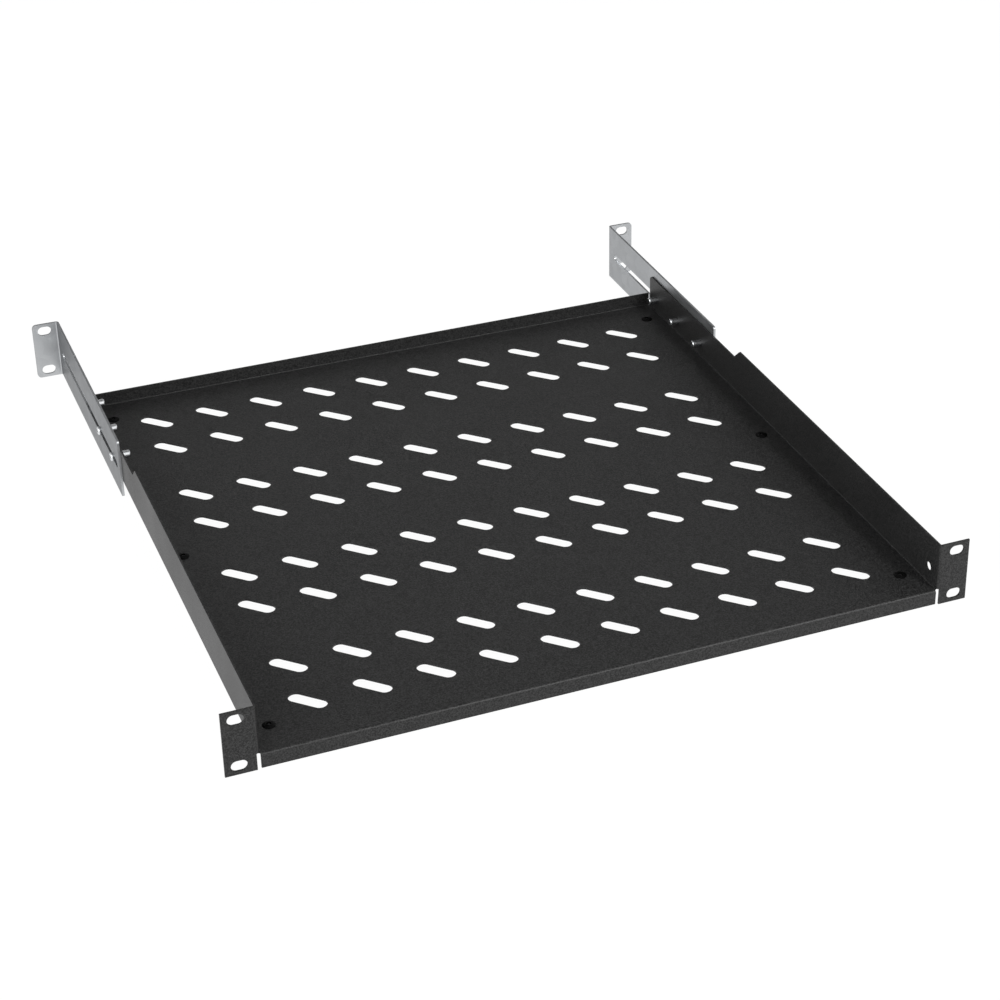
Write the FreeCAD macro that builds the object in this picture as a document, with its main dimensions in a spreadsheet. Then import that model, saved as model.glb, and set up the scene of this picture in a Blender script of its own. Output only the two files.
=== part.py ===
import FreeCAD, Part
import math
import os
import Sketcher

# Cantilever rack shelf, one rack unit high, with two adjustable rear brackets.
#
# Millimetres. X runs along the rack's width, Y from the front to the rear, +Z is up.
# The origin is the centre of the four front fixing slots, on the ears' rear face,
# which is the face that seats on the front rails of the rack.

os.makedirs("parts", exist_ok=True)
doc = FreeCAD.newDocument("rack_shelf")

# ---------------------------------------------------------------- sizes

SIZES = [
    # tray: one folded steel sheet
    ("sheet_thick", 1.2, "thickness of the tray sheet"),
    ("bend_inside", 0.6, "inside radius of the tray's bends"),
    ("panel_width", 482.6, "width over the ears, 19 inch panel"),
    ("unit_height", 43.65, "height of a one-unit panel"),
    ("ear_wide", 19.8, "ear, from the wall's outer face to its free edge"),
    ("tray_depth", 450.0, "front face to the outside of the rear lip"),
    ("floor_rise", 10.65, "floor's upper face above the ears' lower edge"),
    ("front_lip_drop", 10.0, "front lip, from the floor's upper face down"),
    ("rear_lip_rise", 9.65, "rear lip, from the floor's upper face up"),
    ("relief_past", 0.5, "corner reliefs run this far past the bend lines"),
    ("step_before_rear", 161.0, "walls keep their full height up to here from the rear lip"),
    ("step_run", 9.0, "length of the sloping step in the wall's top edge"),
    ("step_drop", 8.0, "height of that step"),
    ("wall_corner", 3.0, "radius of the walls' upper rear corners"),
    # fixing slots of the ears and rear brackets
    ("fixing_inset", 8.75, "middle of the slots to the ear's free edge: 465.1 side to side"),
    ("fixing_inset_high", 5.95, "and to its upper and lower edges: 31.75 up and down"),
    ("fixing_slot_long", 10.0, "slot, end to end"),
    ("fixing_slot_high", 7.0, "slot, across"),
    # ventilation slots of the floor
    ("vent_long", 25.4, "slot, end to end"),
    ("vent_wide", 9.2, "slot, across"),
    ("vent_turn", 135.0, "slot's direction, in degrees from X"),
    ("vent_pitch", 40.0, "pitch of the columns and of the two rows of a band"),
    ("vent_band_rows", 2, "rows in a band"),
    ("vent_band_pitch", 110.0, "band to band"),
    ("vent_first", 40.0, "front face to the first row, and least from the last to the rear"),
    ("vent_margin", 5.0, "least metal between the slots and the rails under the floor"),
    ("count_slack", 0.01, "keeps rounding from dropping a column or a band"),
    # tooling hole in each wall, just behind the ears
    ("side_hole_across", 6.0, "diameter"),
    ("side_hole_back", 12.5, "front face to its centre"),
    # blind rivets that hold the stiffening rails
    ("rivet_inset", 13.75, "wall's outer face to the rivet row"),
    ("rivet_first", 25.0, "front face to the first rivet, and rear face to the last"),
    ("rivet_count", 3, "rivets in each rail"),
    ("rivet_shank", 4.0, "shank diameter"),
    ("rivet_head", 8.0, "head diameter"),
    ("rivet_head_high", 1.3, "head height"),
    ("rivet_rim", 0.35, "straight rim of the head"),
    ("rivet_well", 2.8, "well left by the snapped mandrel, diameter"),
    ("rivet_well_deep", 1.9, "depth of that well"),
    ("rivet_bulb", 5.8, "set end, diameter"),
    ("rivet_bulb_high", 3.2, "set end, height"),
    ("rivet_bulb_straight", 1.9, "set end, height before it tapers"),
    ("hole_clear", 0.05, "radial clearance of a shank in its hole"),
    # stiffening rails under the floor
    ("rail_wide", 20.0, "rail, across"),
    ("rail_high", 8.0, "rail, height"),
    ("rail_thick", 1.2, "rail sheet"),
    ("rail_past", 12.0, "rail runs this far past its end rivets"),
    # clinch standoffs in the side walls and their screws
    ("stud_back", 15.0, "rear face to the last standoff"),
    ("stud_pitch", 40.0, "standoff to standoff"),
    ("stud_count", 3, "standoffs in each wall"),
    ("stud_level", -1.4, "height of the standoffs over the origin"),
    ("stud_across", 5.4, "barrel diameter"),
    ("stud_long_left", 10.0, "left standoffs, outer face of the wall to the closed end"),
    ("stud_long_right", 8.0, "right standoffs, outer face of the wall to the closed end"),
    ("stud_hex", 6.4, "hexagon head, across flats"),
    ("stud_hex_thick", 0.8, "hexagon head, thickness"),
    ("stud_edge", 0.4, "bevel of the closed end"),
    ("stud_bore", 3.1, "threaded bore, drawn plain"),
    ("stud_bore_deep", 6.3, "depth of the bore"),
    ("screw_shank", 3.0, "thread's outside diameter"),
    ("screw_long", 6.0, "under the head"),
    ("screw_head", 6.0, "head diameter"),
    ("screw_head_high", 1.9, "head height"),
    ("screw_rim", 0.8, "straight side of the head"),
    ("screw_cross", 3.1, "cross recess, over its wings"),
    ("screw_cross_wide", 0.8, "cross recess, width of a wing"),
    ("screw_cross_deep", 1.2, "cross recess, depth"),
    ("screw_point", 0.4, "bevel at the end of the thread"),
    # rear brackets: one folded sheet each
    ("bracket_thick", 1.5, "thickness of the bracket sheet"),
    ("bracket_bend", 1.0, "inside radius of the bracket's bend"),
    ("bracket_short", 0.45, "bracket, lower than a full unit by this much"),
    ("bracket_drop", 1.0, "bracket's mid-height below the origin, as it hangs on its screws"),
    ("bracket_reach", 197.5, "web's front end to the front of the ear"),
    ("bracket_web_corner", 2.0, "radius of the web's front corners"),
    ("bracket_ear_corner", 3.0, "radius of the ear's outer corners"),
    ("slide_gap", 0.05, "clearance on each face of the sliding web"),
    ("slide_lead", 13.2, "slot's front end to the first screw"),
    ("slide_edge", 7.2, "web's front end to the slot"),
    ("slide_tail", 11.1, "slot's rear end to the front of the ear"),
    ("slide_slot_high", 5.0, "slot, across"),
    ("slide_low", 0.5, "slot's middle below the bracket's mid-height"),
]

# Values worked out from the sizes. Lengths along Y are counted from the origin,
# one sheet thickness behind the shelf's front face.
DERIVED = [
    ("bend_outside", "bend_inside + sheet_thick"),
    ("front_face", "-sheet_thick"),
    ("wall_out", "panel_width / 2 - ear_wide"),
    ("wall_in", "wall_out - sheet_thick"),
    ("wall_top", "unit_height / 2"),
    ("floor_top", "floor_rise - unit_height / 2"),
    ("floor_under", "floor_top - sheet_thick"),
    ("fold_x", "wall_in - bend_inside"),
    ("fold_z", "floor_top + bend_inside"),
    ("ear_end", "panel_width / 2"),
    ("ear_fold_x", "wall_out + bend_inside"),
    ("relief_front", "bend_inside + relief_past"),
    ("lip_fold_low", "floor_top - bend_outside"),
    ("lip_low", "floor_top - front_lip_drop"),
    ("rear_out", "tray_depth - sheet_thick"),
    ("rear_in", "rear_out - sheet_thick"),
    ("rear_fold_y", "rear_in - bend_inside"),
    ("rear_fold_out", "floor_under + bend_outside"),
    ("rear_lip_top", "floor_top + rear_lip_rise"),
    ("relief_rear", "rear_fold_y - relief_past"),
    ("channel_long", "relief_rear - relief_front"),
    ("channel_high", "wall_top - fold_z"),
    ("lip_wide", "2 * fold_x"),
    ("cut_past", "2 * sheet_thick"),
    ("step_top_y", "rear_out - step_before_rear"),
    ("step_low_y", "step_top_y + step_run"),
    ("step_low_z", "wall_top - step_drop"),
    ("step_over_z", "wall_top + cut_past"),
    ("rear_past_y", "relief_rear + cut_past"),
    ("corner_y", "relief_rear - wall_corner"),
    ("corner_z", "step_low_z - wall_corner"),
    ("fixing_x", "ear_end - fixing_inset"),
    ("fixing_z", "wall_top - fixing_inset_high"),
    ("fixing_round", "fixing_slot_high / 2"),
    ("fixing_flat", "(fixing_slot_long - fixing_slot_high) / 2"),
    ("vent_round", "vent_wide / 2"),
    ("vent_flat", "(vent_long - vent_wide) / 2"),
    ("rivet_x", "wall_out - rivet_inset"),
    ("rail_half", "rail_wide / 2"),
    ("vent_reach", "vent_flat * abs(cos(vent_turn * 1 deg)) + vent_round"),
    ("vent_limit", "rivet_x - rail_half - vent_margin - vent_reach"),
    ("vent_columns", "floor(2 * vent_limit / vent_pitch + 1 + count_slack)"),
    ("vent_x", "vent_pitch * (vent_columns - 1) / 2"),
    ("vent_run", "tray_depth - 2 * vent_first - vent_pitch * (vent_band_rows - 1)"),
    ("vent_bands", "floor(vent_run / vent_band_pitch + 1 + count_slack)"),
    ("vent_y", "vent_first - sheet_thick"),
    ("side_hole_round", "side_hole_across / 2"),
    ("side_hole_y", "side_hole_back - sheet_thick"),
    ("rivet_y", "rivet_first - sheet_thick"),
    ("rivet_pitch", "(tray_depth - 2 * rivet_first) / (rivet_count - 1)"),
    ("rivet_grip", "sheet_thick + rail_thick"),
    ("rivet_hole_round", "rivet_shank / 2 + hole_clear"),
    ("rail_y", "rivet_y - rail_past"),
    ("rail_long", "rivet_pitch * (rivet_count - 1) + 2 * rail_past"),
    ("rail_half_in", "rail_half - rail_thick"),
    ("rail_fold_x", "rail_half_in - bend_inside"),
    ("rail_fold_z", "-rail_thick - bend_inside"),
    ("rail_under", "-rail_thick"),
    ("rail_low", "-rail_high"),
    ("rail_bend_outside", "rail_thick + bend_inside"),
    ("well_round", "rivet_well / 2"),
    ("well_low", "rivet_well_deep - rivet_head_high"),
    ("rivet_head_round", "rivet_head / 2"),
    ("rivet_shank_round", "rivet_shank / 2"),
    ("rivet_bulb_round", "rivet_bulb / 2"),
    ("rivet_bulb_edge", "rivet_grip + rivet_bulb_straight"),
    ("rivet_end", "rivet_grip + rivet_bulb_high"),
    ("rivet_dome_high", "rivet_head_high - rivet_rim"),
    (
        "rivet_dome_low",
        "rivet_rim - (rivet_head_round ^ 2 - well_round ^ 2 - rivet_dome_high ^ 2)"
        " / (2 * rivet_dome_high)",
    ),
    ("rivet_dome", "sqrt(rivet_head_round ^ 2 + (rivet_rim - rivet_dome_low) ^ 2)"),
    ("stud_y", "rear_out - stud_back - stud_pitch * (stud_count - 1)"),
    ("stud_hole_round", "stud_across / 2 + hole_clear"),
    ("stud_round", "stud_across / 2"),
    ("stud_tip_round", "stud_round - stud_edge"),
    ("stud_bevel_left", "stud_long_left - stud_edge"),
    ("stud_bevel_right", "stud_long_right - stud_edge"),
    ("stud_bore_round", "stud_bore / 2"),
    ("stud_hex_flat", "stud_hex / 2"),
    ("stud_hex_tip", "stud_hex / sqrt(3)"),
    ("stud_hex_half", "stud_hex_tip / 2"),
    ("seat_hex_flat", "stud_hex_flat + hole_clear"),
    ("seat_hex_tip", "2 * seat_hex_flat / sqrt(3)"),
    ("seat_hex_half", "seat_hex_tip / 2"),
    ("web_in", "wall_out + slide_gap"),
    ("web_out", "web_in + bracket_thick"),
    ("bracket_bend_outside", "bracket_bend + bracket_thick"),
    ("bracket_high", "unit_height - bracket_short"),
    ("slide_first_y", "stud_y - slide_lead"),
    ("web_front", "slide_first_y - slide_edge"),
    ("seat_y", "web_front + bracket_reach"),
    ("slide_last_y", "seat_y - slide_tail"),
    ("seat_back", "seat_y + bracket_thick"),
    ("web_fold_x", "web_out + bracket_bend"),
    ("web_fold_y", "seat_y - bracket_bend"),
    ("slide_round", "slide_slot_high / 2"),
    ("slide_mid_y", "(slide_first_y + slide_last_y) / 2"),
    ("slide_flat", "(slide_last_y - slide_first_y - slide_slot_high) / 2"),
    ("screw_x", "web_out + slide_gap"),
    ("screw_shank_round", "screw_shank / 2"),
    ("screw_point_round", "screw_shank_round - screw_point"),
    ("screw_point_x", "screw_long - screw_point"),
    ("screw_head_round", "screw_head / 2"),
    ("screw_shoulder", "screw_head_high - screw_rim"),
    ("screw_crown_round", "screw_head_round - screw_shoulder"),
    ("cross_tip", "screw_cross / 2"),
    ("cross_half", "screw_cross_wide / 2"),
]

sheet = doc.addObject("Spreadsheet::Sheet", "Sizes")
row = 1
for name, number, meaning in SIZES:
    sheet.set("A%d" % row, name)
    sheet.set("B%d" % row, str(number))
    sheet.set("C%d" % row, meaning)
    sheet.setAlias("B%d" % row, name)
    row += 1
for name, formula in DERIVED:
    sheet.set("A%d" % row, name)
    sheet.set("B%d" % row, "=" + formula)
    sheet.setAlias("B%d" % row, name)
    row += 1
doc.recompute()


def size(name):
    """Value of a named size; a leading minus turns its sign."""
    if name == "0":
        return 0.0
    if name.startswith("-"):
        return -float(sheet.get(name[1:]))
    return float(sheet.get(name))


def formula(name):
    """The same size as an expression on the sheet."""
    if name == "0":
        return "0"
    if name.startswith("-"):
        return "-Sizes." + name[1:]
    return "Sizes." + name


def other_side(name, side):
    """A size along X, turned to the left-hand side where side is -1."""
    if side > 0 or name == "0":
        return name
    return name[1:] if name.startswith("-") else "-" + name


# ---------------------------------------------------------------- sketches


def origin_feature(body, role):
    for feature in body.Origin.OriginFeatures:
        if feature.Role == role:
            return feature
    raise RuntimeError("no origin feature " + role)


def sketch_on(body, label, role, at=None, turn=None):
    """New sketch on one of the body's own planes, moved and turned by named sizes."""
    sketch = body.newObject("Sketcher::SketchObject", label)
    sketch.AttachmentSupport = (origin_feature(body, role), [""])
    sketch.MapMode = "FlatFace"
    at = at or {}
    base = FreeCAD.Vector(size(at.get("x", "0")), size(at.get("y", "0")), size(at.get("z", "0")))
    spin = FreeCAD.Rotation(FreeCAD.Vector(0, 0, 1), size(turn) if turn else 0)
    sketch.AttachmentOffset = FreeCAD.Placement(base, spin)
    for axis, name in at.items():
        sketch.setExpression("AttachmentOffset.Base." + axis, formula(name))
    if turn:
        sketch.setExpression("AttachmentOffset.Rotation.Angle", formula(turn))
    return sketch


def bind(sketch, constraint, name):
    index = sketch.addConstraint(constraint)
    sketch.setExpression("Constraints[%d]" % index, formula(name))


def draw_loop(sketch, corners, bends=None):
    """Closed outline through named corners.

    A bend at index i makes the side from corner i to corner i + 1 an arc; it is given
    as (centre across, centre up, radius), all three named sizes. Every corner is held
    by two distances from the sketch's origin and every arc by its radius, so the
    outline is fully constrained.
    """
    bends = bends or {}
    points = [FreeCAD.Vector(size(a), size(b), 0) for a, b in corners]
    sides = []
    for i, start in enumerate(points):
        end = points[(i + 1) % len(points)]
        if i not in bends:
            index = sketch.addGeometry(Part.LineSegment(start, end), False)
            sides.append((index, 1, 2))
            continue
        across, up, radius = bends[i]
        centre = FreeCAD.Vector(size(across), size(up), 0)
        first = start - centre
        last = end - centre
        angle_first = math.atan2(first.y, first.x)
        angle_last = math.atan2(last.y, last.x)
        circle = Part.Circle(centre, FreeCAD.Vector(0, 0, 1), size(radius))
        if first.cross(last).z > 0:
            arc = Part.ArcOfCircle(circle, angle_first, angle_last)
            sides.append((sketch.addGeometry(arc, False), 1, 2))
        else:
            arc = Part.ArcOfCircle(circle, angle_last, angle_first)
            sides.append((sketch.addGeometry(arc, False), 2, 1))
    for i, (index, start_end, far_end) in enumerate(sides):
        following, following_start, _ = sides[(i + 1) % len(sides)]
        sketch.addConstraint(
            Sketcher.Constraint("Coincident", index, far_end, following, following_start)
        )
        bind(sketch, Sketcher.Constraint("DistanceX", index, start_end, points[i].x), corners[i][0])
        bind(sketch, Sketcher.Constraint("DistanceY", index, start_end, points[i].y), corners[i][1])
        if i in bends:
            radius = bends[i][2]
            bind(sketch, Sketcher.Constraint("Radius", index, size(radius)), radius)


def draw_slot(sketch, flat, round_size):
    """Obround centred on the sketch's origin, its length along the sketch's X."""
    far = size(flat)
    radius = size(round_size)
    upward = FreeCAD.Vector(0, 0, 1)
    right = Part.Circle(FreeCAD.Vector(far, 0, 0), upward, radius)
    left = Part.Circle(FreeCAD.Vector(-far, 0, 0), upward, radius)
    quarter = math.pi / 2
    sketch.addGeometry(Part.ArcOfCircle(right, -quarter, quarter), False)
    sketch.addGeometry(Part.ArcOfCircle(left, quarter, 3 * quarter), False)
    top = Part.LineSegment(FreeCAD.Vector(far, radius, 0), FreeCAD.Vector(-far, radius, 0))
    low = Part.LineSegment(FreeCAD.Vector(-far, -radius, 0), FreeCAD.Vector(far, -radius, 0))
    sketch.addGeometry(top, False)
    sketch.addGeometry(low, False)
    sketch.addConstraint(Sketcher.Constraint("Tangent", 0, 2, 2, 1))
    sketch.addConstraint(Sketcher.Constraint("Tangent", 2, 2, 1, 1))
    sketch.addConstraint(Sketcher.Constraint("Tangent", 1, 2, 3, 1))
    sketch.addConstraint(Sketcher.Constraint("Tangent", 3, 2, 0, 1))
    bind(sketch, Sketcher.Constraint("DistanceX", 0, 3, far), flat)
    bind(sketch, Sketcher.Constraint("DistanceX", 1, 3, -far), "-" + flat)
    sketch.addConstraint(Sketcher.Constraint("PointOnObject", 0, 3, -1))
    sketch.addConstraint(Sketcher.Constraint("PointOnObject", 1, 3, -1))
    bind(sketch, Sketcher.Constraint("Radius", 0, radius), round_size)


def draw_circle(sketch, round_size):
    circle = Part.Circle(FreeCAD.Vector(0, 0, 0), FreeCAD.Vector(0, 0, 1), size(round_size))
    index = sketch.addGeometry(circle, False)
    sketch.addConstraint(Sketcher.Constraint("Coincident", index, 3, -1, 1))
    bind(sketch, Sketcher.Constraint("Radius", index, size(round_size)), round_size)


def draw_hexagon(sketch, flat, tip, half):
    """Hexagon centred on the sketch's origin, two of its corners on the sketch's X."""
    draw_loop(sketch, [
        (tip, "0"),
        (half, flat),
        ("-" + half, flat),
        ("-" + tip, "0"),
        ("-" + half, "-" + flat),
        (half, "-" + flat),
    ])


# ---------------------------------------------------------------- features


def pad(body, label, sketch, length, reverse=False, middle=False):
    feature = body.newObject("PartDesign::Pad", label)
    feature.Profile = sketch
    feature.setExpression("Length", formula(length))
    feature.Reversed = reverse
    if middle:
        feature.SideType = "Symmetric"
    sketch.Visibility = False
    doc.recompute()
    return feature


def cut(body, label, sketch, depth=None):
    """Pocket, to a named depth or right through both ways; it has to take metal away."""
    before = body.Tip.Shape.Volume
    feature = body.newObject("PartDesign::Pocket", label)
    feature.Profile = sketch
    if depth is None:
        feature.Type = "ThroughAll"
        feature.SideType = "Symmetric"
    else:
        feature.setExpression("Length", formula(depth))
    sketch.Visibility = False
    doc.recompute()
    if feature.Shape.Volume >= before:
        raise RuntimeError(label + " takes no metal away")
    return feature


def row_of(body, label, axis, pitch, count):
    step = body.newObject("PartDesign::LinearPattern", label)
    step.Direction = (origin_feature(body, axis), [""])
    step.Mode = "Spacing"
    step.setExpression("Offset", formula(pitch))
    step.setExpression("Occurrences", formula(count))
    return step


def mirror_of(body, label, role):
    step = body.newObject("PartDesign::Mirrored", label)
    step.MirrorPlane = (origin_feature(body, role), [""])
    return step


def repeat(body, label, feature, steps):
    """Repeat a feature through several patterns one after another."""
    pattern = body.newObject("PartDesign::MultiTransform", label)
    pattern.Originals = [feature]
    pattern.Transformations = steps
    body.Tip = pattern
    doc.recompute()
    return pattern


def spin_about(body, label, sketch, axis):
    feature = body.newObject("PartDesign::Revolution", label)
    feature.Profile = sketch
    feature.ReferenceAxis = (origin_feature(body, axis), [""])
    sketch.Visibility = False
    doc.recompute()
    return feature


def new_body(label):
    body = doc.addObject("PartDesign::Body", label)
    body.Label = label
    return body


# ---------------------------------------------------------------- tray

tray = new_body("tray")

# Floor and side walls: one channel-shaped bend profile, drawn across the tray.
channel_sketch = sketch_on(tray, "channel_profile", "XZ_Plane", {"z": "-relief_front"})
draw_loop(
    channel_sketch,
    [
        ("-fold_x", "floor_under"),
        ("fold_x", "floor_under"),
        ("wall_out", "fold_z"),
        ("wall_out", "wall_top"),
        ("wall_in", "wall_top"),
        ("wall_in", "fold_z"),
        ("fold_x", "floor_top"),
        ("-fold_x", "floor_top"),
        ("-wall_in", "fold_z"),
        ("-wall_in", "wall_top"),
        ("-wall_out", "wall_top"),
        ("-wall_out", "fold_z"),
    ],
    {
        1: ("fold_x", "fold_z", "bend_outside"),
        5: ("fold_x", "fold_z", "bend_inside"),
        7: ("-fold_x", "fold_z", "bend_inside"),
        11: ("-fold_x", "fold_z", "bend_outside"),
    },
)
pad(tray, "channel", channel_sketch, "channel_long", reverse=True)

# Ears: the walls turn outward at the front, above the floor's bends.
ear_sketch = sketch_on(tray, "ear_profile", "XY_Plane", {"z": "fold_z"})
for side in (1, -1):
    draw_loop(
        ear_sketch,
        [
            (other_side("wall_out", side), "relief_front"),
            (other_side("wall_out", side), "bend_inside"),
            (other_side("ear_fold_x", side), "0"),
            (other_side("ear_end", side), "0"),
            (other_side("ear_end", side), "front_face"),
            (other_side("ear_fold_x", side), "front_face"),
            (other_side("wall_in", side), "bend_inside"),
            (other_side("wall_in", side), "relief_front"),
        ],
        {
            1: (other_side("ear_fold_x", side), "bend_inside", "bend_inside"),
            5: (other_side("ear_fold_x", side), "bend_inside", "bend_outside"),
        },
    )
pad(tray, "ears", ear_sketch, "channel_high")

# Below the bends the ears hang free of the walls.
ear_low_sketch = sketch_on(tray, "ear_low_profile", "XZ_Plane")
for side in (1, -1):
    draw_loop(
        ear_low_sketch,
        [
            (other_side("ear_fold_x", side), "-wall_top"),
            (other_side("ear_end", side), "-wall_top"),
            (other_side("ear_end", side), "fold_z"),
            (other_side("ear_fold_x", side), "fold_z"),
        ],
    )
pad(tray, "ears_low", ear_low_sketch, "sheet_thick")

# Front lip, turned down, flush with the ears.
front_lip_sketch = sketch_on(tray, "front_lip_profile", "YZ_Plane")
draw_loop(
    front_lip_sketch,
    [
        ("relief_front", "floor_top"),
        ("bend_inside", "floor_top"),
        ("front_face", "lip_fold_low"),
        ("front_face", "lip_low"),
        ("0", "lip_low"),
        ("0", "lip_fold_low"),
        ("bend_inside", "floor_under"),
        ("relief_front", "floor_under"),
    ],
    {
        1: ("bend_inside", "lip_fold_low", "bend_outside"),
        5: ("bend_inside", "lip_fold_low", "bend_inside"),
    },
)
pad(tray, "front_lip", front_lip_sketch, "lip_wide", middle=True)

# Rear lip, turned up between the walls.
rear_lip_sketch = sketch_on(tray, "rear_lip_profile", "YZ_Plane")
draw_loop(
    rear_lip_sketch,
    [
        ("relief_rear", "floor_under"),
        ("rear_fold_y", "floor_under"),
        ("rear_out", "rear_fold_out"),
        ("rear_out", "rear_lip_top"),
        ("rear_in", "rear_lip_top"),
        ("rear_in", "rear_fold_out"),
        ("rear_fold_y", "floor_top"),
        ("relief_rear", "floor_top"),
    ],
    {
        1: ("rear_fold_y", "rear_fold_out", "bend_outside"),
        5: ("rear_fold_y", "rear_fold_out", "bend_inside"),
    },
)
pad(tray, "rear_lip", rear_lip_sketch, "lip_wide", middle=True)

# The walls step down towards the rear and end in a rounded corner.
step_sketch = sketch_on(tray, "wall_step_outline", "YZ_Plane")
draw_loop(
    step_sketch,
    [
        ("step_top_y", "wall_top"),
        ("step_low_y", "step_low_z"),
        ("corner_y", "step_low_z"),
        ("relief_rear", "corner_z"),
        ("rear_past_y", "corner_z"),
        ("rear_past_y", "step_over_z"),
        ("step_top_y", "step_over_z"),
    ],
    {2: ("corner_y", "corner_z", "wall_corner")},
)
cut(tray, "wall_step", step_sketch)

# Fixing slots in the ears: one slot, mirrored up and across.
fixing_sketch = sketch_on(tray, "fixing_slot", "XZ_Plane", {"x": "fixing_x", "y": "fixing_z"})
draw_slot(fixing_sketch, "fixing_flat", "fixing_round")
fixing_cut = cut(tray, "fixing_slot_cut", fixing_sketch)
repeat(tray, "fixing_slots", fixing_cut, [
    mirror_of(tray, "fixing_down", "XY_Plane"),
    mirror_of(tray, "fixing_across", "YZ_Plane"),
])

# Ventilation slots: one diagonal slot, repeated in columns, in pairs and in bands.
vent_sketch = sketch_on(
    tray, "vent_slot", "XY_Plane", {"x": "-vent_x", "y": "vent_y"}, turn="vent_turn"
)
draw_slot(vent_sketch, "vent_flat", "vent_round")
vent_cut = cut(tray, "vent_slot_cut", vent_sketch)
repeat(tray, "vent_slots", vent_cut, [
    row_of(tray, "vent_columns_row", "X_Axis", "vent_pitch", "vent_columns"),
    row_of(tray, "vent_rows_row", "Y_Axis", "vent_pitch", "vent_band_rows"),
    row_of(tray, "vent_bands_row", "Y_Axis", "vent_band_pitch", "vent_bands"),
])

# Rivet holes through the floor.
rivet_hole_sketch = sketch_on(tray, "rivet_hole", "XY_Plane", {"x": "rivet_x", "y": "rivet_y"})
draw_circle(rivet_hole_sketch, "rivet_hole_round")
rivet_hole_cut = cut(tray, "rivet_hole_cut", rivet_hole_sketch)
repeat(tray, "rivet_holes", rivet_hole_cut, [
    row_of(tray, "rivet_holes_row", "Y_Axis", "rivet_pitch", "rivet_count"),
    mirror_of(tray, "rivet_holes_across", "YZ_Plane"),
])

# Tooling holes and standoff holes go through both walls at once.
side_hole_sketch = sketch_on(tray, "side_hole", "YZ_Plane", {"x": "side_hole_y"})
draw_circle(side_hole_sketch, "side_hole_round")
cut(tray, "side_holes", side_hole_sketch)

stud_hole_sketch = sketch_on(tray, "stud_hole", "YZ_Plane", {"x": "stud_y", "y": "stud_level"})
draw_circle(stud_hole_sketch, "stud_hole_round")
stud_hole_cut = cut(tray, "stud_hole_cut", stud_hole_sketch)
repeat(tray, "stud_holes", stud_hole_cut, [
    row_of(tray, "stud_holes_row", "Y_Axis", "stud_pitch", "stud_count"),
])

# Each standoff's hexagon head is pressed flush into the wall's outer face.
seat_sketch = sketch_on(
    tray, "stud_seat", "YZ_Plane", {"x": "stud_y", "y": "stud_level", "z": "wall_out"}
)
draw_hexagon(seat_sketch, "seat_hex_flat", "seat_hex_tip", "seat_hex_half")
seat_cut = cut(tray, "stud_seat_cut", seat_sketch, "stud_hex_thick")
repeat(tray, "stud_seats", seat_cut, [
    row_of(tray, "stud_seats_row", "Y_Axis", "stud_pitch", "stud_count"),
    mirror_of(tray, "stud_seats_across", "YZ_Plane"),
])

parts = [tray]

# ---------------------------------------------------------------- stiffening rails

for side, label in ((1, "stiffener_right"), (-1, "stiffener_left")):
    rail = new_body(label)
    rail.setExpression("Placement.Base.x", formula(other_side("rivet_x", side)))
    rail.setExpression("Placement.Base.y", formula("rail_y"))
    rail.setExpression("Placement.Base.z", formula("floor_under"))
    rail_sketch = sketch_on(rail, label + "_profile", "XZ_Plane")
    draw_loop(
        rail_sketch,
        [
            ("-rail_fold_x", "0"),
            ("rail_fold_x", "0"),
            ("rail_half", "rail_fold_z"),
            ("rail_half", "rail_low"),
            ("rail_half_in", "rail_low"),
            ("rail_half_in", "rail_fold_z"),
            ("rail_fold_x", "rail_under"),
            ("-rail_fold_x", "rail_under"),
            ("-rail_half_in", "rail_fold_z"),
            ("-rail_half_in", "rail_low"),
            ("-rail_half", "rail_low"),
            ("-rail_half", "rail_fold_z"),
        ],
        {
            1: ("rail_fold_x", "rail_fold_z", "rail_bend_outside"),
            5: ("rail_fold_x", "rail_fold_z", "bend_inside"),
            7: ("-rail_fold_x", "rail_fold_z", "bend_inside"),
            11: ("-rail_fold_x", "rail_fold_z", "rail_bend_outside"),
        },
    )
    pad(rail, label + "_channel", rail_sketch, "rail_long", reverse=True)
    rail_hole_sketch = sketch_on(rail, label + "_hole", "XY_Plane", {"y": "rail_past"})
    draw_circle(rail_hole_sketch, "rivet_hole_round")
    rail_hole_cut = cut(rail, label + "_hole_cut", rail_hole_sketch)
    repeat(rail, label + "_holes", rail_hole_cut, [
        row_of(rail, label + "_holes_row", "Y_Axis", "rivet_pitch", "rivet_count"),
    ])
    parts.append(rail)

# ---------------------------------------------------------------- blind rivets


def make_rivet(label, across, along):
    """Blind rivet, its head seated on the floor and its set end under the rail."""
    rivet = new_body(label)
    rivet.setExpression("Placement.Base.x", formula(across))
    rivet.setExpression("Placement.Base.y", formula("rivet_y") + " + " + along)
    rivet.setExpression("Placement.Base.z", formula("floor_top"))
    profile = sketch_on(rivet, label + "_profile", "XZ_Plane")
    draw_loop(
        profile,
        [
            ("0", "-well_low"),
            ("well_round", "-well_low"),
            ("well_round", "rivet_head_high"),
            ("rivet_head_round", "rivet_rim"),
            ("rivet_head_round", "0"),
            ("rivet_shank_round", "0"),
            ("rivet_shank_round", "-rivet_grip"),
            ("rivet_bulb_round", "-rivet_grip"),
            ("rivet_bulb_round", "-rivet_bulb_edge"),
            ("rivet_shank_round", "-rivet_end"),
            ("0", "-rivet_end"),
        ],
        {2: ("0", "rivet_dome_low", "rivet_dome")},
    )
    spin_about(rivet, label + "_turned", profile, "Z_Axis")
    return rivet


for across, side_name in (("-rivet_x", "left"), ("rivet_x", "right")):
    for index, place in enumerate(("front", "middle", "rear")):
        along = "%d * Sizes.rivet_pitch" % index
        parts.append(make_rivet("rivet_%s_%s" % (side_name, place), across, along))

# ---------------------------------------------------------------- standoffs


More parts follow.
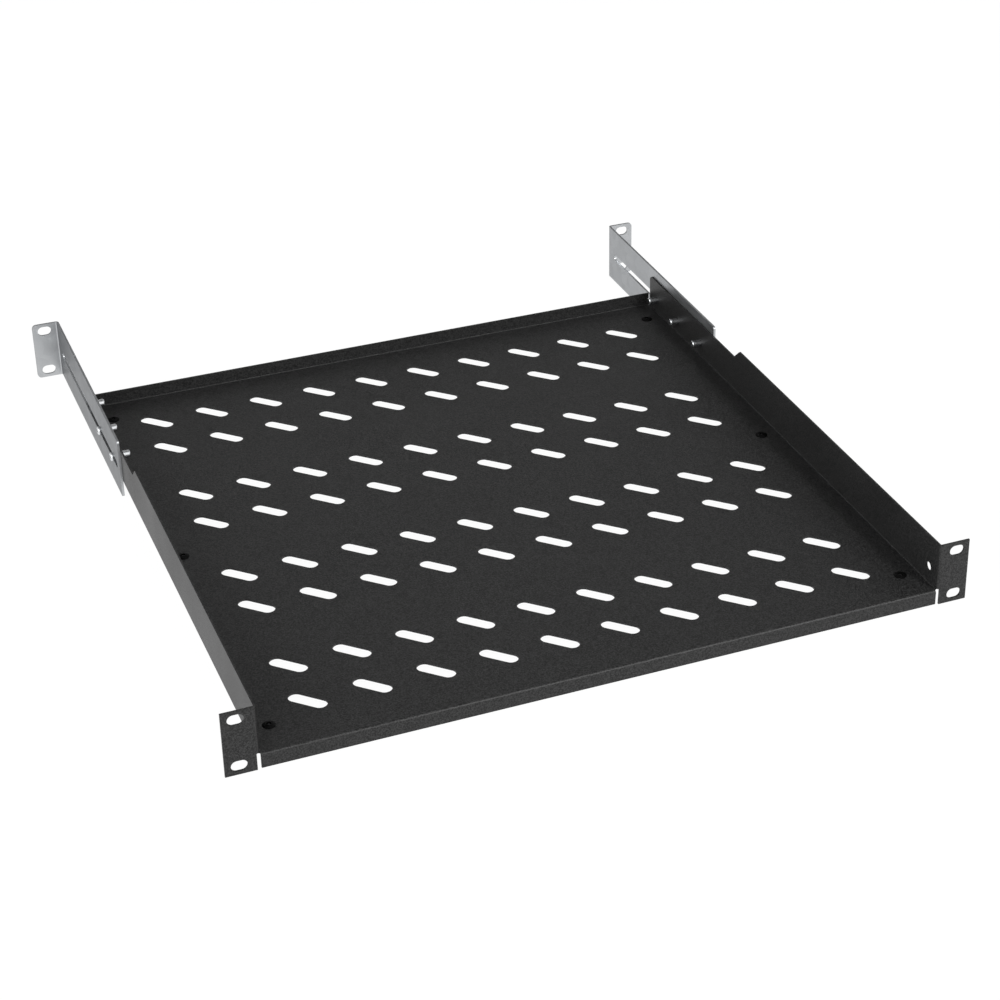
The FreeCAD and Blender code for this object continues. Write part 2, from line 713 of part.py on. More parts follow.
def make_standoff(label, side, side_name, along):
    """Blind clinch standoff: hexagon head in the wall, closed barrel inside the tray."""
    stud = new_body(label)
    if side < 0:
        stud.Placement = FreeCAD.Placement(
            FreeCAD.Vector(0, 0, 0), FreeCAD.Rotation(FreeCAD.Vector(0, 0, 1), 180)
        )
    stud.setExpression("Placement.Base.x", formula(other_side("wall_out", side)))
    stud.setExpression("Placement.Base.y", formula("stud_y") + " + " + along)
    stud.setExpression("Placement.Base.z", formula("stud_level"))
    head_sketch = sketch_on(stud, label + "_hexagon", "YZ_Plane")
    draw_hexagon(head_sketch, "stud_hex_flat", "stud_hex_tip", "stud_hex_half")
    pad(stud, label + "_head", head_sketch, "stud_hex_thick", reverse=True)
    barrel_sketch = sketch_on(stud, label + "_barrel_profile", "XZ_Plane")
    draw_loop(barrel_sketch, [
        ("-stud_hex_thick", "0"),
        ("-stud_hex_thick", "stud_round"),
        ("-stud_bevel_" + side_name, "stud_round"),
        ("-stud_long_" + side_name, "stud_tip_round"),
        ("-stud_long_" + side_name, "0"),
    ])
    spin_about(stud, label + "_barrel", barrel_sketch, "X_Axis")
    bore_sketch = sketch_on(stud, label + "_bore", "YZ_Plane")
    draw_circle(bore_sketch, "stud_bore_round")
    cut(stud, label + "_bore_cut", bore_sketch, "stud_bore_deep")
    return stud


for side, side_name in ((-1, "left"), (1, "right")):
    for index, place in enumerate(("front", "middle", "rear")):
        along = "%d * Sizes.stud_pitch" % index
        label = "standoff_%s_%s" % (side_name, place)
        parts.append(make_standoff(label, side, side_name, along))

# ---------------------------------------------------------------- screws


def make_screw(label, side, along):
    """Pan-head screw through the bracket's slot into a standoff."""
    screw = new_body(label)
    if side < 0:
        screw.Placement = FreeCAD.Placement(
            FreeCAD.Vector(0, 0, 0), FreeCAD.Rotation(FreeCAD.Vector(0, 0, 1), 180)
        )
    screw.setExpression("Placement.Base.x", formula(other_side("screw_x", side)))
    screw.setExpression("Placement.Base.y", formula("stud_y") + " + " + along)
    screw.setExpression("Placement.Base.z", formula("stud_level"))
    profile = sketch_on(screw, label + "_profile", "XZ_Plane")
    draw_loop(
        profile,
        [
            ("-screw_long", "0"),
            ("-screw_long", "screw_point_round"),
            ("-screw_point_x", "screw_shank_round"),
            ("0", "screw_shank_round"),
            ("0", "screw_head_round"),
            ("screw_rim", "screw_head_round"),
            ("screw_head_high", "screw_crown_round"),
            ("screw_head_high", "0"),
        ],
        {5: ("screw_rim", "screw_crown_round", "screw_shoulder")},
    )
    spin_about(screw, label + "_turned", profile, "X_Axis")
    cross_sketch = sketch_on(screw, label + "_cross", "YZ_Plane", {"z": "screw_head_high"})
    draw_loop(cross_sketch, [
        ("cross_tip", "-cross_half"),
        ("cross_tip", "cross_half"),
        ("cross_half", "cross_half"),
        ("cross_half", "cross_tip"),
        ("-cross_half", "cross_tip"),
        ("-cross_half", "cross_half"),
        ("-cross_tip", "cross_half"),
        ("-cross_tip", "-cross_half"),
        ("-cross_half", "-cross_half"),
        ("-cross_half", "-cross_tip"),
        ("cross_half", "-cross_tip"),
        ("cross_half", "-cross_half"),
    ])
    cut(screw, label + "_cross_cut", cross_sketch, "screw_cross_deep")
    return screw


for side, side_name in ((-1, "left"), (1, "right")):
    for index, place in enumerate(("front", "middle")):
        along = "%d * Sizes.stud_pitch" % index
        parts.append(make_screw("screw_%s_%s" % (side_name, place), side, along))

# ---------------------------------------------------------------- rear brackets


NEAR = 1e-4


def round_corners(body, label, radius, axis, place):
    """Round a bracket's upper and lower corner where the sheet ends at a named place.

    axis is 0 for a place along X and 1 for one along Y.
    """
    sheet_end = body.Tip
    level = size("bracket_high") / 2
    names = []
    for index, edge in enumerate(sheet_end.Shape.Edges):
        ends = [vertex.Point for vertex in edge.Vertexes]
        at_place = all(abs(end[axis] - size(place)) < NEAR for end in ends)
        at_corner = all(abs(abs(end.z) - level) < NEAR for end in ends)
        if at_place and at_corner and abs(ends[0].z - ends[-1].z) < NEAR:
            names.append("Edge%d" % (index + 1))
    if len(names) != 2:
        raise RuntimeError("%s: %d corners found, two expected" % (label, len(names)))
    fillet = body.newObject("PartDesign::Fillet", label)
    fillet.Base = (sheet_end, names)
    fillet.setExpression("Radius", formula(radius))
    doc.recompute()


for side, label in ((-1, "rear_bracket_left"), (1, "rear_bracket_right")):
    bracket = new_body(label)
    bracket.setExpression("Placement.Base.z", formula("-bracket_drop"))
    fold_sketch = sketch_on(bracket, label + "_profile", "XY_Plane")
    draw_loop(
        fold_sketch,
        [
            (other_side("web_in", side), "web_front"),
            (other_side("web_out", side), "web_front"),
            (other_side("web_out", side), "web_fold_y"),
            (other_side("web_fold_x", side), "seat_y"),
            (other_side("ear_end", side), "seat_y"),
            (other_side("ear_end", side), "seat_back"),
            (other_side("web_fold_x", side), "seat_back"),
            (other_side("web_in", side), "web_fold_y"),
        ],
        {
            2: (other_side("web_fold_x", side), "web_fold_y", "bracket_bend"),
            6: (other_side("web_fold_x", side), "web_fold_y", "bracket_bend_outside"),
        },
    )
    pad(bracket, label + "_sheet", fold_sketch, "bracket_high", middle=True)
    round_corners(bracket, label + "_web_corners", "bracket_web_corner", 1, "web_front")
    ear_end = other_side("ear_end", side)
    round_corners(bracket, label + "_ear_corners", "bracket_ear_corner", 0, ear_end)
    slide_sketch = sketch_on(
        bracket, label + "_slide", "YZ_Plane", {"x": "slide_mid_y", "y": "-slide_low"}
    )
    draw_slot(slide_sketch, "slide_flat", "slide_round")
    cut(bracket, label + "_slide_cut", slide_sketch)
    seat_slot_sketch = sketch_on(
        bracket,
        label + "_fixing",
        "XZ_Plane",
        {"x": other_side("fixing_x", side), "y": "fixing_z"},
    )
    draw_slot(seat_slot_sketch, "fixing_flat", "fixing_round")
    seat_slot_cut = cut(bracket, label + "_fixing_cut", seat_slot_sketch)
    repeat(bracket, label + "_fixings", seat_slot_cut, [
        mirror_of(bracket, label + "_fixings_down", "XY_Plane"),
    ])
    parts.append(bracket)

# ---------------------------------------------------------------- checks and export

doc.recompute()
for thing in doc.Objects:
    for state in thing.State:
        if state in ("Invalid", "Error"):
            raise RuntimeError("%s is %s" % (thing.Label, state))
for part in parts:
    shape = part.Shape
    if shape.isNull() or not shape.isValid() or len(shape.Solids) != 1:
        raise RuntimeError(part.Label + " is not one valid solid")
for part in parts:
    part.Shape.exportStep("parts/" + part.Label + ".step")
    print("%-24s %10.1f mm3" % (part.Label, part.Shape.Volume))
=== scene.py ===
# %% [markdown]
# # A one-unit rack shelf, finished and lit
#
# The shelf is a folded steel tray, 482.6 mm wide over its ears, with eighty slanting
# slots in its floor and a sliding bracket on each side at the rear. Its shapes come from
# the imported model. This lesson gives each piece its finish, adds the small things that
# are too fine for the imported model, and sets up a plain studio round it.
#
# The first step loads the model. Every length below is in metres, +Z is up, the front
# is towards -Y, and the origin is the middle of the four front fixing slots.

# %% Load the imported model
import math

import bpy
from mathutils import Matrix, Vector


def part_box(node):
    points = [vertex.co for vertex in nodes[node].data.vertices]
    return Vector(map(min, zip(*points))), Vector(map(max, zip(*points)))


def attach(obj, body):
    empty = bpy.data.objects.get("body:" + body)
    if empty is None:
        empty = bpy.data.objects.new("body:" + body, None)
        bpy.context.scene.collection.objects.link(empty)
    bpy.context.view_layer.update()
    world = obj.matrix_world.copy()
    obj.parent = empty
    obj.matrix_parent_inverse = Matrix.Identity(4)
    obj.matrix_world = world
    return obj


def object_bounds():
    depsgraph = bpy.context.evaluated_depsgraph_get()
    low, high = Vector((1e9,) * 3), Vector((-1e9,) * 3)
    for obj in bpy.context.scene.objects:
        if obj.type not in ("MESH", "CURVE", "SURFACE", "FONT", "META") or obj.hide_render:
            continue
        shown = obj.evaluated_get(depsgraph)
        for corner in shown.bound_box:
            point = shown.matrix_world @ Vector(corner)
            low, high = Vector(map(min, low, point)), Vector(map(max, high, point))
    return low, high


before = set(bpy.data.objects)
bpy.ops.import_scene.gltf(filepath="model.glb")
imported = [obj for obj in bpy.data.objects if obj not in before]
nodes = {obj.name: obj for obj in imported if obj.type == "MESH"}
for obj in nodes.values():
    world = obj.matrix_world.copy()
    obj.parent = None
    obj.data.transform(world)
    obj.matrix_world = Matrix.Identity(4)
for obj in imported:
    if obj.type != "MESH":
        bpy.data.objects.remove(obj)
cad_low, cad_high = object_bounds()
MM = 0.001
print("pieces loaded:", len(nodes))
print("overall size, mm:", [round((b - a) / MM, 1) for a, b in zip(cad_low, cad_high)])

# %% [markdown]
# ## Colours and nodes
#
# Colours are written as the hex values that a paint chart gives. Blender mixes light in
# linear values, so one function turns the first into the second. Another function adds a
# shader or geometry node, with its settings and its links, so that each finish reads as a
# short list. A socket is named by its label, or by its number where labels repeat.
#
# The rest hold what every finish repeats. A material is started and closed, a noise is
# fixed to the piece, its middle values are spread over a range of roughness, and its
# heights tip the surface a little.


# %% Helpers for every finish
NOISE_LOW = 0.3
NOISE_HIGH = 0.7


def linear(hex_colour):
    """sRGB hex such as '#808080' as linear red, green, blue and an alpha of 1."""
    channels = [int(hex_colour[i : i + 2], 16) / 255 for i in (1, 3, 5)]
    straight = [c / 12.92 if c <= 0.04045 else ((c + 0.055) / 1.055) ** 2.4 for c in channels]
    return (*straight, 1.0)


def add(tree, kind, sockets=None, **settings):
    """Add a node. sockets maps an input to a value, or to a (node, output) to link from."""
    node = tree.nodes.new(kind)
    for name, value in settings.items():
        setattr(node, name, value)
    for name, value in (sockets or {}).items():
        if isinstance(value, tuple) and isinstance(value[0], bpy.types.Node):
            tree.links.new(value[0].outputs[value[1]], node.inputs[name])
        else:
            node.inputs[name].default_value = value
    return node


def new_finish(name):
    """Empty material with its node tree, ready for a surface."""
    material = bpy.data.materials.new(name)
    material.use_nodes = True
    material.node_tree.nodes.clear()
    return material, material.node_tree


def noise(tree, vector, size, detail, **sockets):
    """Noise with grains of about the given size."""
    return add(
        tree,
        "ShaderNodeTexNoise",
        {"Vector": vector, "Scale": 1 / size, "Detail": detail, **sockets},
    )


def spread(tree, source, low, high):
    """Stretch the middle of a noise over the range from low to high."""
    return add(
        tree,
        "ShaderNodeMapRange",
        {
            "Value": (source, 0),
            "From Min": NOISE_LOW,
            "From Max": NOISE_HIGH,
            "To Min": low,
            "To Max": high,
        },
    )


def bump(tree, source, strength, distance):
    """Tip the surface by the heights of a noise."""
    return add(
        tree,
        "ShaderNodeBump",
        {"Height": (source, 0), "Strength": strength, "Distance": distance},
    )


def close_finish(tree, shader):
    """Link the last shader to the material's output."""
    add(tree, "ShaderNodeOutputMaterial", {"Surface": (shader, 0)})


print("mid grey, #808080, is linear", round(linear("#808080")[0], 3))

# %% [markdown]
# ## Black powder coat
#
# The tray is cold-rolled steel, washed, sprayed with black polyester powder and baked.
# The powder melts to a skin about 0.08 mm thick with a fine grain, like the peel of an
# orange. The eye sees a dull black that turns grey where it mirrors the room at a low
# angle, and a speckle where each grain tips the light a little. The real grain is finer;
# here it is drawn near 0.9 mm across so that it still shows from a step away.
#
# A bump carries the grain, because a coat this thin changes the shading and not the
# outline. A second, wider noise moves the roughness a little, as oven heat does.

# %% Powder coat on the tray and its rails
GRAIN = 0.9 * MM
PEEL_HIGH = 0.14 * MM
CLOUD = 60 * MM
SHEEN_LOW = 0.41
SHEEN_HIGH = 0.47
COAT_IOR = 1.355
PIGMENT = [(0.36, "#0f0f0f"), (0.66, "#333333")]

powder, tree = new_finish("Black_polyester_powder_coat")
place = add(tree, "ShaderNodeTexCoord")
grain = noise(tree, (place, "Object"), GRAIN, 2.0, Roughness=0.6)
cloud = noise(tree, (place, "Object"), CLOUD, 2.0)
sheen = spread(tree, cloud, SHEEN_LOW, SHEEN_HIGH)
peel = bump(tree, grain, 1.0, PEEL_HIGH)
pigment = add(tree, "ShaderNodeValToRGB", {"Fac": (grain, 0)})
for stop, (position, colour) in zip(pigment.color_ramp.elements, PIGMENT):
    stop.position = position
    stop.color = linear(colour)
skin = add(
    tree,
    "ShaderNodeBsdfPrincipled",
    {
        "Base Color": (pigment, 0),
        "Roughness": (sheen, 0),
        "Normal": (peel, 0),
        "IOR": COAT_IOR,
        "Metallic": 0.0,
    },
)
close_finish(tree, skin)
print("powder coat nodes:", len(tree.nodes))

# %% [markdown]
# ## Galvanised sheet
#
# The rear brackets are cut and folded from zinc-coated coil and left bare. The zinc is a
# soft grey metal with a satin shine. Rolling leaves hair-fine lines along the sheet, and
# the zinc froze in crystals a few millimetres wide, the spangle, which on modern coil is
# faint. A metal has no colour of its own besides its reflection, so metallic is 1 and the
# IOR stays at Blender's value.

# %% Galvanised sheet on the two brackets
SPANGLE = 7 * MM
ROLL_LINE = 0.8 * MM
ROLL_STRETCH = 0.02
LINE_HIGH = 0.05 * MM
SATIN_LOW = 0.32
SATIN_HIGH = 0.4

zinc_sheet, tree = new_finish("Galvanised_steel_sheet")
place = add(tree, "ShaderNodeTexCoord")
crystals = add(
    tree,
    "ShaderNodeTexVoronoi",
    {"Vector": (place, "Object"), "Scale": 1 / SPANGLE, "Randomness": 1.0},
)
along_roll = add(
    tree,
    "ShaderNodeMapping",
    {"Vector": (place, "Object"), "Scale": (1.0, ROLL_STRETCH, 1.0)},
)
roll_lines = noise(tree, (along_roll, 0), ROLL_LINE, 3.0)
crystal_grey = add(tree, "ShaderNodeSeparateColor", {"Color": (crystals, "Color")})
grey_mix = add(
    tree,
    "ShaderNodeMix",
    {
        "Factor": (crystal_grey, 0),
        6: linear("#b4b6b8"),
        7: linear("#bcbec0"),
    },
    data_type="RGBA",
)
satin = spread(tree, roll_lines, SATIN_LOW, SATIN_HIGH)
hairline = bump(tree, roll_lines, 0.05, LINE_HIGH)
zinc_skin = add(
    tree,
    "ShaderNodeBsdfPrincipled",
    {
        "Base Color": (grey_mix, 2),
        "Roughness": (satin, 0),
        "Normal": (hairline, 0),
        "Metallic": 1.0,
        "Specular Tint": linear("#a9a9a9"),
    },
)
close_finish(tree, zinc_skin)
print("galvanised nodes:", len(tree.nodes))

# %% [markdown]
# ## Bright zinc plate
#
# Screws and standoffs are turned or headed from wire and barrel-plated with bright zinc.
# The plate is thin and smooth, so it mirrors the room with only a little blur, and the
# edges catch small white lights. A fine noise stands for the marks of tumbling.

# %% Bright zinc on the standoffs and screws
TUMBLE = 0.6 * MM
DENT_HIGH = 0.05 * MM
BLUR_LOW = 0.12
BLUR_HIGH = 0.2

bright, tree = new_finish("Bright_zinc_plate")
place = add(tree, "ShaderNodeTexCoord")
tumbling = noise(tree, (place, "Object"), TUMBLE, 2.0)
plate_blur = spread(tree, tumbling, BLUR_LOW, BLUR_HIGH)
plate_dents = bump(tree, tumbling, 0.08, DENT_HIGH)
plate = add(
    tree,
    "ShaderNodeBsdfPrincipled",
    {
        "Base Color": linear("#dcdee0"),
        "Roughness": (plate_blur, 0),
        "Normal": (plate_dents, 0),
        "Metallic": 1.0,
    },
)
close_finish(tree, plate)
print("bright zinc nodes:", len(tree.nodes))

# %% [markdown]
# ## Black lacquer on the rivets
#
# The blind rivets are bought ready blackened. Their lacquer is thinner and smoother than
# the powder coat and dries matte, so their heads look a shade darker than the floor.

# %% Lacquer on the rivets
LACQUER_RIPPLE = 1.2 * MM
RIPPLE_HIGH = 0.05 * MM
LACQUER_IOR = 1.2

lacquer, tree = new_finish("Black_rivet_lacquer")
place = add(tree, "ShaderNodeTexCoord")
ripple = noise(tree, (place, "Object"), LACQUER_RIPPLE, 1.0)
ripple_bump = bump(tree, ripple, 0.1, RIPPLE_HIGH)
lacquer_skin = add(
    tree,
    "ShaderNodeBsdfPrincipled",
    {
        "Base Color": linear("#030303"),
        "Roughness": 0.55,
        "Normal": (ripple_bump, 0),
        "IOR": LACQUER_IOR,
        "Metallic": 0.0,
    },
)
close_finish(tree, lacquer_skin)
print("lacquer nodes:", len(tree.nodes))

# %% [markdown]
# ## Snapped steel
#
# When a blind rivet is set, its steel pin is pulled until it snaps, and the stub stays in
# the head. The break is bare, grey and dull.

# %% Bare broken steel for the pins
BREAK_GRAIN = 0.25 * MM
CRUMB_HIGH = 0.1 * MM

broken, tree = new_finish("Snapped_rivet_steel")
place = add(tree, "ShaderNodeTexCoord")
crumbs = noise(tree, (place, "Object"), BREAK_GRAIN, 3.0)
crumb_bump = bump(tree, crumbs, 0.4, CRUMB_HIGH)
break_skin = add(
    tree,
    "ShaderNodeBsdfPrincipled",
    {
        "Base Color": linear("#3a3a3b"),
        "Roughness": 0.5,
        "Normal": (crumb_bump, 0),
        "Metallic": 0.6,
    },
)
close_finish(tree, break_skin)
print("broken steel nodes:", len(tree.nodes))

# %% [markdown]
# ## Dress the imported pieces
#
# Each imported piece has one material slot. Its name tells what it is, so a short table
# from the start of the name to the finish dresses all of them.

# %% Finishes by piece name
FINISHES = {
    "tray": powder,
    "stiffener": powder,
    "rivet": lacquer,
    "standoff": bright,
    "screw": bright,
    "rear_bracket": zinc_sheet,
}
for name, piece in nodes.items():
    finish = next(f for start, f in FINISHES.items() if name.startswith(start))
    piece.data.materials.clear()
    piece.data.materials.append(finish)
print("dressed:", len(nodes))

# %% [markdown]
# ## Pins of the blind rivets
#
# The same stub sits in all six rivets, so Geometry Nodes makes it once and copies it to
# six points, one at the bottom of each rivet's well. A cone node with a slightly smaller
# top gives the stub, because the snapped pin necks as it breaks. The modifier's inputs
# are the stub's sizes. Realize Instances turns the copies into plain faces.


# %% Helpers that run a geometry tree on a set of points
def points_object(name, places):
    """Mesh of bare points, which a geometry tree turns into pieces."""
    mesh = bpy.data.meshes.new(name)
    mesh.from_pydata([tuple(p) for p in places], [], [])
    item = bpy.data.objects.new(name, mesh)
    bpy.context.scene.collection.objects.link(item)
    return item


def new_geometry_tree(name, inputs):
    """Geometry tree with a mesh input, named length inputs and a mesh output."""
    tree = bpy.data.node_groups.new(name, "GeometryNodeTree")
    tree.interface.new_socket("Points", in_out="INPUT", socket_type="NodeSocketGeometry")
    for label, value in inputs.items():
        socket = tree.interface.new_socket(label, in_out="INPUT", socket_type="NodeSocketFloat")
        socket.default_value = value
    tree.interface.new_socket("Pieces", in_out="OUTPUT", socket_type="NodeSocketGeometry")
    return tree, add(tree, "NodeGroupInput")


def close_geometry_tree(tree, source, material):
    """Realize the copies, give them their material and send them out."""
    real = add(tree, "GeometryNodeRealizeInstances", {"Geometry": source})
    dressed = add(tree, "GeometryNodeSetMaterial", {"Geometry": (real, 0), "Material": material})
    add(tree, "NodeGroupOutput", {"Pieces": (dressed, 0)})


def bake_pieces(name, places, tree, values):
    """Run the tree on the points and keep the result as one plain mesh object."""
    source = points_object(name + "_points", places)
    modifier = source.modifiers.new("pieces", "NODES")
    modifier.node_group = tree
    for item in tree.interface.items_tree:
        if item.item_type == "SOCKET" and item.in_out == "INPUT" and item.name in values:
            modifier[item.identifier] = values[item.name]
    bpy.context.view_layer.update()
    evaluated = source.evaluated_get(bpy.context.evaluated_depsgraph_get())
    mesh = bpy.data.meshes.new_from_object(evaluated)
    source.modifiers.remove(modifier)
    bpy.data.objects.remove(source)
    mesh.name = name
    piece = bpy.data.objects.new(name, mesh)
    bpy.context.scene.collection.objects.link(piece)
    return piece


print("geometry helpers are ready")

# %% Six snapped pins
PIN_SIDES = 24
WELL_DEEP = 1.9 * MM
PIN_SIZES = {"Pin radius": 1.15 * MM, "Neck radius": 0.95 * MM, "Pin height": 1.0 * MM}

pin_tree, pin_in = new_geometry_tree("snapped_pins", PIN_SIZES)
stub = add(
    pin_tree,
    "GeometryNodeMeshCone",
    {
        "Vertices": PIN_SIDES,
        "Radius Bottom": (pin_in, "Pin radius"),
        "Radius Top": (pin_in, "Neck radius"),
        "Depth": (pin_in, "Pin height"),
    },
)
pins_placed = add(
    pin_tree,
    "GeometryNodeInstanceOnPoints",
    {"Points": (pin_in, "Points"), "Instance": (stub, "Mesh")},
)
close_geometry_tree(pin_tree, (pins_placed, 0), broken)

well_floors = []
for name in nodes:
    if name.startswith("rivet"):
        low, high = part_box(name)
        middle = (Vector(low) + Vector(high)) / 2
        well_floors.append((middle.x, middle.y, high[2] - WELL_DEEP))
pins = bake_pieces("rivet_pins", well_floors, pin_tree, PIN_SIZES)
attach(pins, "shelf")
print("pins:", len(well_floors), "faces:", len(pins.data.polygons))

# %% [markdown]
# ## Threads in the two spare standoffs
#
# Each wall has three standoffs and only two screws. The rear one is open, and its female
# thread shows through the bracket's slot. A thread is a ridge on a helix. A spiral curve
# with a three-sided profile drawn along it makes one, and two points, one in each open
# bore, receive a copy. The bores are mirror images, but both threads stay right-handed.

# %% Right-handed ridge in each open bore
BORE_RADIUS = 1.53 * MM
THREAD_PITCH = 0.5 * MM
THREAD_TURNS = 11.0
THREAD_LENGTH = THREAD_PITCH * THREAD_TURNS
THREAD_SET_IN = 0.4 * MM
STEPS_PER_TURN = 20
RIDGE_SIDES = 3
THREAD_SIZES = {
    "Bore radius": BORE_RADIUS,
    "Ridge radius": 0.2 * MM,
    "Thread length": THREAD_LENGTH,
}

thread_tree, thread_in = new_geometry_tree("bore_threads", THREAD_SIZES)
helix = add(
    thread_tree,
    "GeometryNodeCurveSpiral",
    {
        "Resolution": STEPS_PER_TURN,
        "Rotations": THREAD_TURNS,
        "Start Radius": (thread_in, "Bore radius"),
        "End Radius": (thread_in, "Bore radius"),
        "Height": (thread_in, "Thread length"),
    },
)
ridge = add(
    thread_tree,
    "GeometryNodeCurvePrimitiveCircle",
    {"Resolution": RIDGE_SIDES, "Radius": (thread_in, "Ridge radius")},
)
swept = add(
    thread_tree,
    "GeometryNodeCurveToMesh",
    {"Curve": (helix, 0), "Profile Curve": (ridge, 0), "Fill Caps": True},
)
laid_down = add(
    thread_tree,
    "GeometryNodeTransform",
    {"Geometry": (swept, 0), "Rotation": (0.0, math.radians(90), 0.0)},
)
threads_placed = add(
    thread_tree,
    "GeometryNodeInstanceOnPoints",
    {"Points": (thread_in, "Points"), "Instance": (laid_down, 0)},
)
close_geometry_tree(thread_tree, (threads_placed, 0), bright)

bore_starts = []
for name, sign in (("standoff_left_rear", -1), ("standoff_right_rear", 1)):
    low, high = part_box(name)
    mouth_x = low[0] if sign < 0 else high[0]
    right_start = mouth_x - THREAD_SET_IN - THREAD_LENGTH
    start_x = mouth_x + THREAD_SET_IN if sign < 0 else right_start
    bore_starts.append((start_x, (low[1] + high[1]) / 2, (low[2] + high[2]) / 2))
threads = bake_pieces("standoff_threads", bore_starts, thread_tree, THREAD_SIZES)
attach(threads, "shelf")
print("threads:", len(bore_starts), "pitch, mm:", THREAD_PITCH / MM)

# %% [markdown]
# ## Studio floor and world
#
# The shelf stands on a pale floor in an even white room. The floor and the world are pure
# white where the camera, a mirror or a pane looks at them, and an ordinary white surface
# and a weaker light for everything else, so that they don't flood the black coat with
# light. A small share of the floor's own shading is kept, which leaves the soft shadow.

# %% White floor
FLOOR_HALF = 4.0
FLOOR_DROP = 0.1 * MM
FLOOR_WHITE_SHARE = 0.95
FLOOR_GLOW = 1.03

floor_z = cad_low[2] - FLOOR_DROP
floor_mesh = bpy.data.meshes.new("studio_floor")
corners = [(-1, -1), (1, -1), (1, 1), (-1, 1)]
floor_mesh.from_pydata(
    [(x * FLOOR_HALF, y * FLOOR_HALF, floor_z) for x, y in corners], [], [(0, 1, 2, 3)]
)
floor = bpy.data.objects.new("studio_floor", floor_mesh)
bpy.context.scene.collection.objects.link(floor)


def seen_directly(tree, share):
    """share where the camera, a reflection or a refraction looks, and 0 for other light."""
    path = add(tree, "ShaderNodeLightPath")
    looks = add(
        tree,
        "ShaderNodeMath",
        {0: (path, "Is Camera Ray"), 1: (path, "Is Glossy Ray")},
        operation="ADD",
        use_clamp=True,
    )
    any_look = add(
        tree,
        "ShaderNodeMath",
        {0: (looks, 0), 1: (path, "Is Transmission Ray")},
        operation="ADD",
        use_clamp=True,
    )
    return add(tree, "ShaderNodeMath", {0: (any_look, 0), 1: share}, operation="MULTIPLY")


floor_finish, tree = new_finish("White_studio_paper")
paper = add(tree, "ShaderNodeBsdfDiffuse", {"Color": linear("#f4f4f4")})
glow = add(tree, "ShaderNodeEmission", {"Color": linear("#ffffff"), "Strength": FLOOR_GLOW})
white_share = seen_directly(tree, FLOOR_WHITE_SHARE)
floor_shader = add(
    tree, "ShaderNodeMixShader", {0: (white_share, 0), 1: (paper, 0), 2: (glow, 0)}
)
close_finish(tree, floor_shader)
floor_mesh.materials.append(floor_finish)
print("floor height, mm:", round(floor_z / MM, 2))

# %% White world
WORLD_LIGHT = 0.62

world = bpy.data.worlds.new("studio_world")
world.use_nodes = True
world.node_tree.nodes.clear()
bpy.context.scene.world = world
tree = world.node_tree
soft = add(tree, "ShaderNodeBackground", {"Color": linear("#ffffff"), "Strength": WORLD_LIGHT})
clean = add(tree, "ShaderNodeBackground", {"Color": linear("#ffffff"), "Strength": 1.0})
world_share = seen_directly(tree, 1.0)
world_mix = add(tree, "ShaderNodeMixShader", {0: (world_share, 0), 1: (soft, 0), 2: (clean, 0)})
add(tree, "ShaderNodeOutputWorld", {"Surface": (world_mix, 0)})
print("world light:", WORLD_LIGHT)

# %% [markdown]
# ## Lamps and a grey canopy
#
# A small high lamp in front gives the key light. The rounded front fold mirrors it as a
# thin bright line, and the grains of the coat catch it as tiny lights. A broad lamp on the
# left opens the shadow inside the right wall. A black tray in a white room looks grey,
# because its floor mirrors the far wall. Studios keep it black with a grey canopy, which
# stands behind the shelf and folds forward over it. The floor and the top edges then
# mirror grey and not white, and every bright pin shows a grey band above its white one.


# %% Area lamps aimed at the shelf
def area_lamp(name, place, target, wide, high, power):
    """Rectangular lamp at a place, facing a target."""
    data = bpy.data.lights.new(name, "AREA")
    data.shape = "RECTANGLE"
    data.size = wide
    data.size_y = high
    data.energy = power
    lamp = bpy.data.objects.new(name, data)
    lamp.location = place
    lamp.rotation_euler = (Vector(target) - Vector(place)).to_track_quat("-Z", "Y").to_euler()
    bpy.context.scene.collection.objects.link(lamp)


# name, place, width and height in metres, and power in watts
LAMPS = [
    ("key_lamp", (0.75, -1.5, 1.3), 0.3, 0.3, 27),
    ("fill_lamp", (-1.8, -0.5, 1.0), 2.2, 1.6, 26),
]
shelf_middle = (Vector(cad_low) + Vector(cad_high)) / 2
for lamp_name, lamp_place, wide, high, power in LAMPS:
    area_lamp(lamp_name, lamp_place, shelf_middle, wide, high, power)
print("lamps:", len(LAMPS))

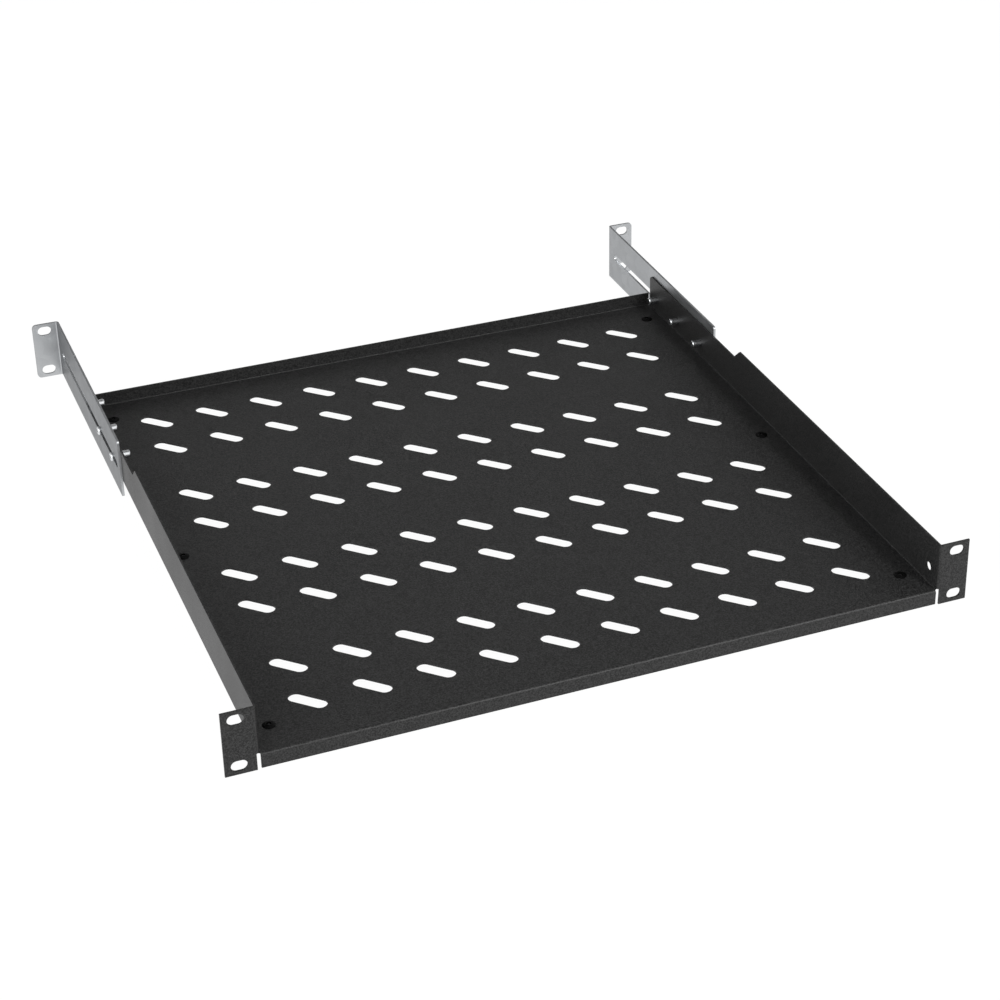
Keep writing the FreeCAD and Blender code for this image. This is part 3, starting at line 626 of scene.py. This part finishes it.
# %% Grey canopy behind and over the shelf
CANOPY_BACK = 1.9
CANOPY_FRONT = -0.5
CANOPY_LOW = 0.15
CANOPY_HIGH = 2.6
CANOPY_HALF = 2.2

canopy_mesh = bpy.data.meshes.new("grey_canopy")
canopy_edges = [
    (CANOPY_BACK, CANOPY_LOW),
    (CANOPY_BACK, CANOPY_HIGH),
    (CANOPY_FRONT, CANOPY_HIGH),
]
canopy_mesh.from_pydata(
    [(side * CANOPY_HALF, y, z) for y, z in canopy_edges for side in (-1, 1)],
    [],
    [(0, 1, 3, 2), (2, 3, 5, 4)],
)
canopy = bpy.data.objects.new("grey_canopy", canopy_mesh)
bpy.context.scene.collection.objects.link(canopy)
canopy_finish, tree = new_finish("Grey_canopy_cloth")
cloth = add(tree, "ShaderNodeBsdfDiffuse", {"Color": linear("#a8a8a8")})
close_finish(tree, cloth)
canopy_mesh.materials.append(canopy_finish)
canopy.visible_camera = False
print("canopy height, mm:", (CANOPY_HIGH - CANOPY_LOW) / MM)

# %% [markdown]
# ## Camera
#
# The camera stands 23 degrees to the left of the shelf's front and looks down at 29
# degrees, with a long lens. The lens is shifted a little, which frames the shelf without
# turning the camera.

# %% Camera
TURN_RIGHT = math.radians(22.90)
TILT_DOWN = math.radians(29.02)
CAMERA_PLACE = (-0.4699, -1.0930, 0.8077)
SENSOR_WIDE = 36.0
LENS_LONG = 86.24
SHIFT_ACROSS = -0.1027
SHIFT_UP = -0.0645
NEAREST_SEEN = 0.05

camera_data = bpy.data.cameras.new("camera")
camera_data.sensor_width = SENSOR_WIDE
camera_data.lens = LENS_LONG
camera_data.shift_x = SHIFT_ACROSS
camera_data.shift_y = SHIFT_UP
camera_data.clip_start = NEAREST_SEEN
camera = bpy.data.objects.new("camera", camera_data)
camera.location = CAMERA_PLACE
camera.rotation_euler = (math.pi / 2 - TILT_DOWN, 0.0, -TURN_RIGHT)
bpy.context.scene.collection.objects.link(camera)
bpy.context.scene.camera = camera
bpy.context.scene.view_settings.view_transform = "Standard"
print("camera distance, m:", round((camera.location - shelf_middle).length, 3))
